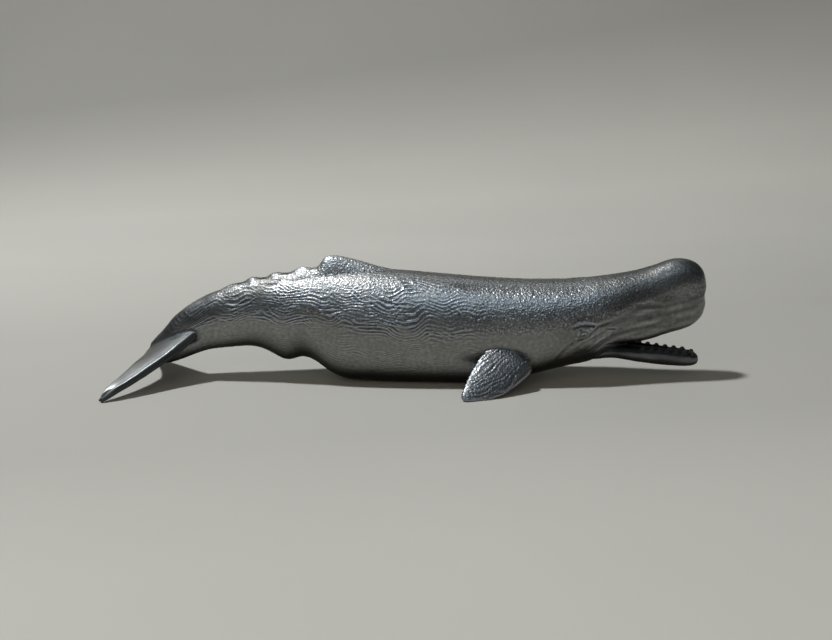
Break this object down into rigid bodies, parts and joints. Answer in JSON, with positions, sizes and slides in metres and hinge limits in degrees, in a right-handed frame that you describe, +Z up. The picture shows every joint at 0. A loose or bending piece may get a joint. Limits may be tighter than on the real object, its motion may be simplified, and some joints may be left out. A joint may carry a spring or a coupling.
{
  "type": "whale figurine",
  "caption": "Sperm whale figurine in dark antiqued metal, mouth open, that rests on its belly, flippers and drooping fluke.",
  "frame": {"origin": "on the table, in the middle of the whale's length and breadth", "axes": "+X towards the head, +Y towards the whale's left side, +Z up from the table"},
  "size_m": [0.15, 0.0402, 0.0325],
  "materials": {
    "antiqued_metal": "dark antiqued casting metal, burnished on its ridges, semi-gloss"
  },
  "bodies": {
    "root": {"body_shell_right": "antiqued_metal", "body_shell_left": "antiqued_metal", "lower_jaw": "antiqued_metal", "flipper_right": "antiqued_metal", "flipper_left": "antiqued_metal", "tail_fluke": "antiqued_metal"}
  },
  "joints": []
}
